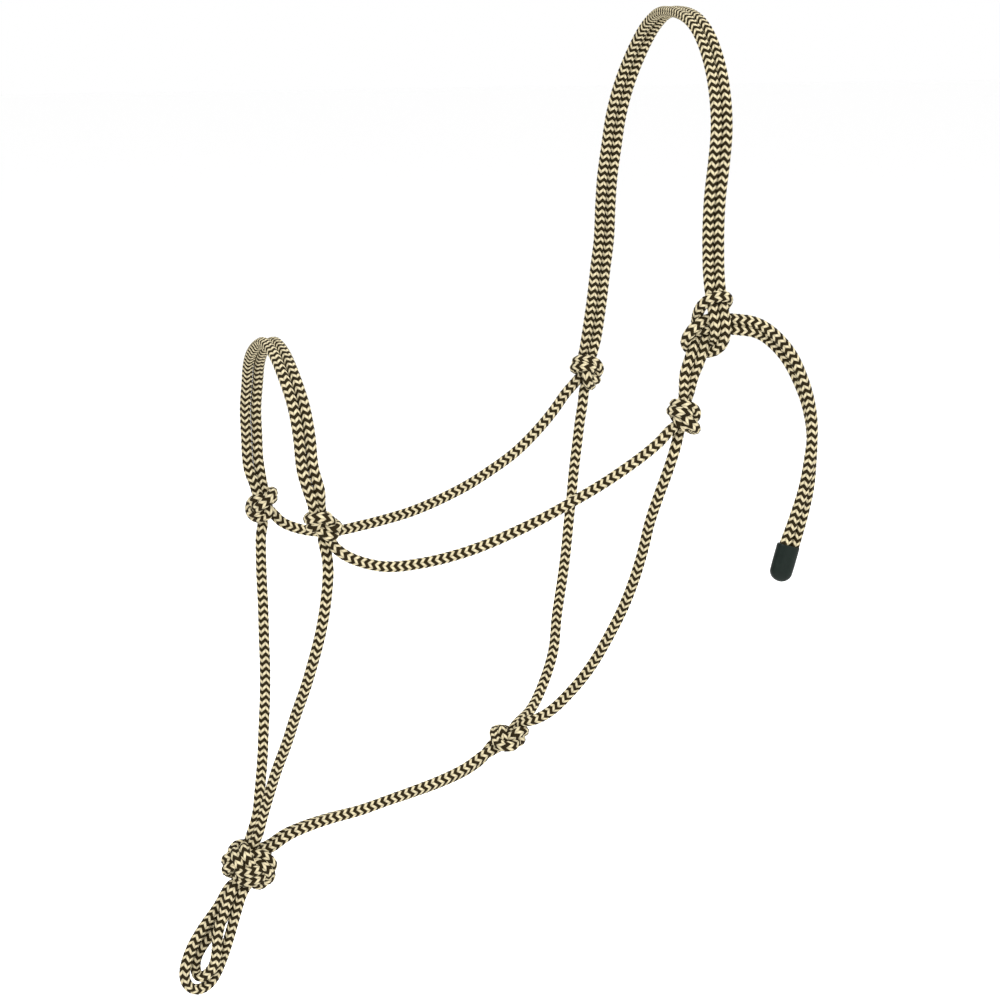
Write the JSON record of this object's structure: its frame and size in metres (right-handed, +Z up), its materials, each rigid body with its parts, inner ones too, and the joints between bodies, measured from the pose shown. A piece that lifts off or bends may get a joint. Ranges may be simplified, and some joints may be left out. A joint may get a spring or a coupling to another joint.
{
  "type": "rope halter",
  "caption": "Rope halter for a horse, tied from one braided two-tone cord: doubled crown and noseband, fixed knots, fiador knot with lead loop, sheet-bend tie and capped tail",
  "frame": {"origin": "the poll mount: underside of the crown at its top, where it sits behind the horse's ears", "axes": "+X from the nose towards the poll, -Y the horse's left (near) side, +Z up"},
  "size_m": [0.3536, 0.2058, 0.5675],
  "materials": {
    "braided_rope": "matte braided polyester, cream and dark olive zigzag",
    "end_cap": "satin shrunk-on sleeve"
  },
  "bodies": {
    "crown": {"crown_strand_front": "braided_rope", "crown_strand_rear": "braided_rope", "tie_knot": "braided_rope", "eye_loop": "braided_rope", "cheek_knot_near": "braided_rope", "cheek_knot_off": "braided_rope"},
    "face": {"cheek_rope_near": "braided_rope", "cheek_rope_off": "braided_rope", "nose_knot_near": "braided_rope", "nose_knot_off": "braided_rope"},
    "noseband": {"noseband_strand_front": "braided_rope", "noseband_strand_rear": "braided_rope"},
    "chin": {"chin_rope_near": "braided_rope", "chin_rope_off": "braided_rope"},
    "throat": {"throat_rope_near": "braided_rope", "throat_rope_off": "braided_rope", "throat_knot": "braided_rope"},
    "jaw": {"jaw_strand_near": "braided_rope", "jaw_strand_off": "braided_rope", "fiador_knot": "braided_rope"},
    "lead_loop": {"lead_loop_outer": "braided_rope", "lead_loop_inner": "braided_rope"},
    "tail": {"tail_strand_front": "braided_rope", "tail_strand_rear": "braided_rope", "tail_end_cap": "end_cap"}
  },
  "joints": [
    {"name": "face_swing", "type": "hinge", "parent": "crown", "child": "face", "pos_m": [-0.0245, 0, -0.2185], "axis": [0.0174, 0.9994, 0.0291], "range_deg": [-25, 25]},
    {"name": "noseband_swing", "type": "hinge", "parent": "face", "child": "noseband", "pos_m": [-0.2335, 0, -0.28], "axis": [-0.0234, 0.9978, -0.0624], "range_deg": [-35, 35]},
    {"name": "throat_swing", "type": "hinge", "parent": "face", "child": "throat", "pos_m": [-0.0245, 0, -0.2185], "axis": [0.0174, 0.9994, 0.0291], "range_deg": [-8, 8]},
    {"name": "chin_swing", "type": "hinge", "parent": "face", "child": "chin", "pos_m": [-0.2335, 0, -0.28], "axis": [-0.0234, 0.9978, -0.0624], "range_deg": [-7, 7]},
    {"name": "jaw_fold", "type": "hinge", "parent": "throat", "child": "jaw", "pos_m": [-0.102, 0, -0.422], "axis": [0, 1, 0], "range_deg": [-10.8, 10.8]},
    {"name": "lead_loop_swing", "type": "hinge", "parent": "jaw", "child": "lead_loop", "pos_m": [-0.26, 0, -0.486], "axis": [0, 1, 0], "range_deg": [-70, 60]},
    {"name": "tail_swing", "type": "hinge", "parent": "crown", "child": "tail", "pos_m": [0.004, -0.092, -0.168], "axis": [0, 1, 0], "range_deg": [-70, 15]}
  ],
  "couplings": [
    {"joint": "chin_swing", "follows": "throat_swing", "ratio": 0.87},
    {"joint": "jaw_fold", "follows": "throat_swing", "ratio": -1.35}
  ]
}
